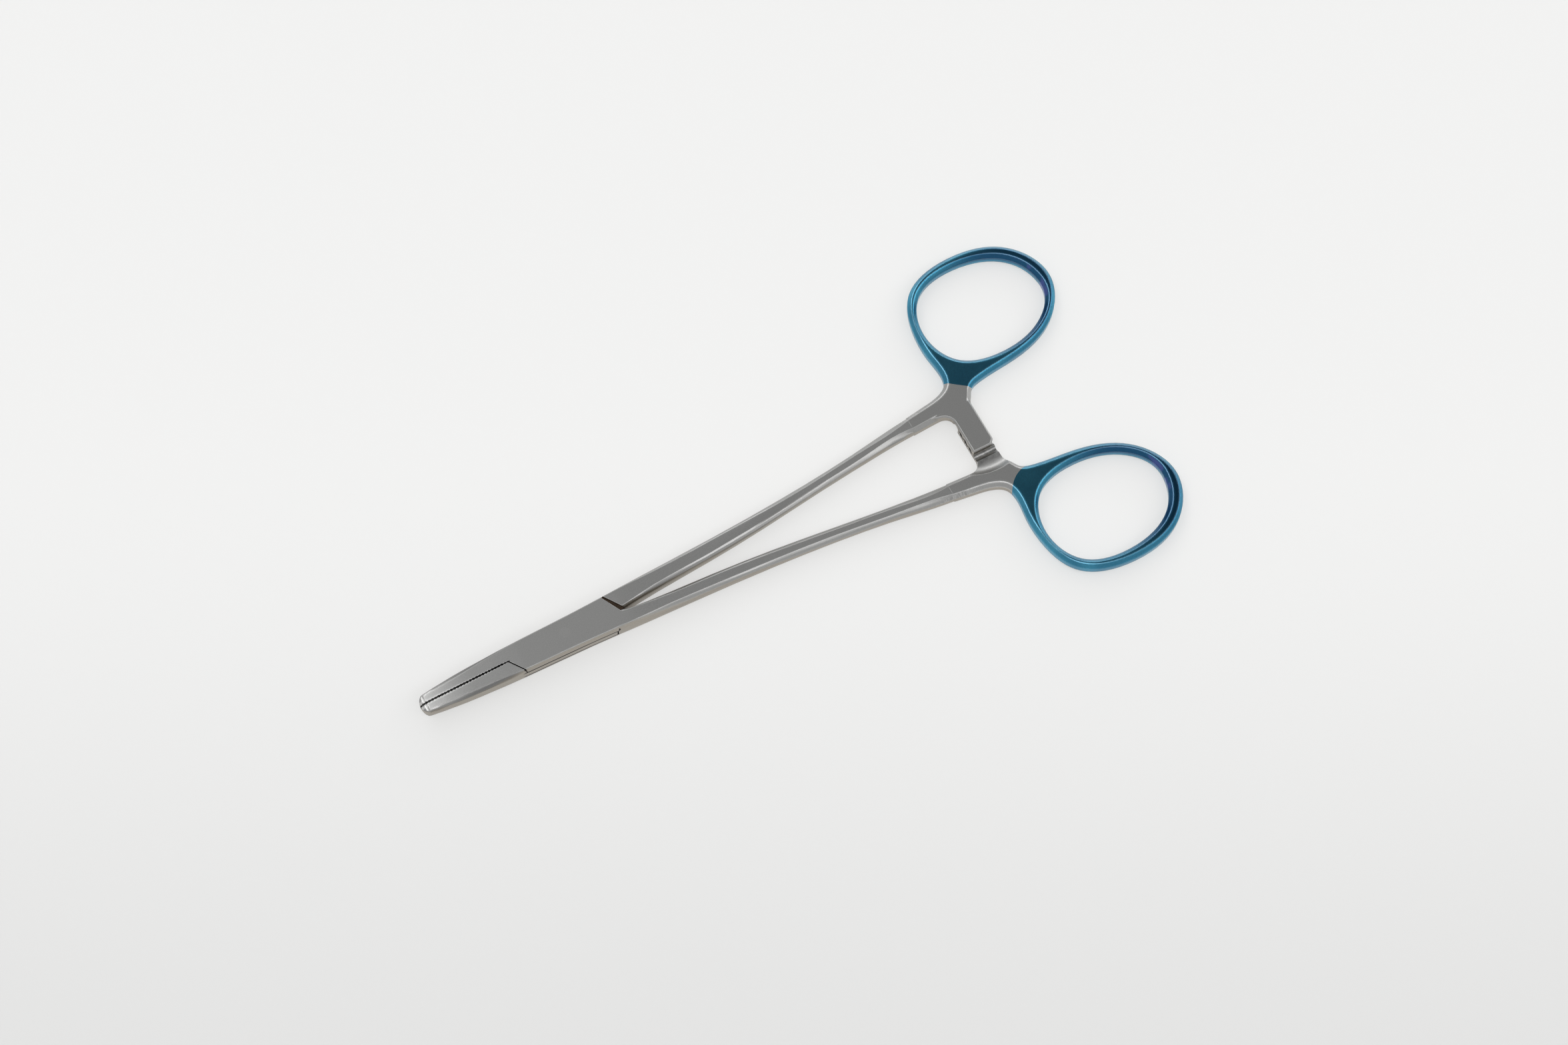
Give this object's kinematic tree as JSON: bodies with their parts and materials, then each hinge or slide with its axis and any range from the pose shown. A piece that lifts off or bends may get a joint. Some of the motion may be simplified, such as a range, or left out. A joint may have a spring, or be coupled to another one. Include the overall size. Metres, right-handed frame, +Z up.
{
  "type": "surgical needle holder",
  "caption": "Straight needle holder with short serrated jaws, a box lock, a ratchet between the handles and a finger ring on each handle.",
  "frame": {"origin": "on the underside of the box lock, on the centre line of the closed instrument and level with the pivot", "axes": "+X from the jaws to the finger rings, +Y towards the handle of the tongue half, +Z up, square to the plane in which the handles open"},
  "size_m": [0.1597, 0.0786, 0.0042],
  "materials": {
    "satin_steel": "satin stainless steel, with a glossy metallic blue coat on the finger rings",
    "pin_steel": "satin stainless steel, a shade lighter than the plates round it"
  },
  "bodies": {
    "box_side": {"box_half": "satin_steel", "pivot_pin": "pin_steel"},
    "tongue_side": {"tongue_half": "satin_steel"}
  },
  "joints": [
    {"name": "box_lock", "type": "hinge", "parent": "box_side", "child": "tongue_side", "pos_m": [0, 0.0003, 0.0021], "axis": [0, 0, 1], "range_deg": [0, 40]}
  ]
}
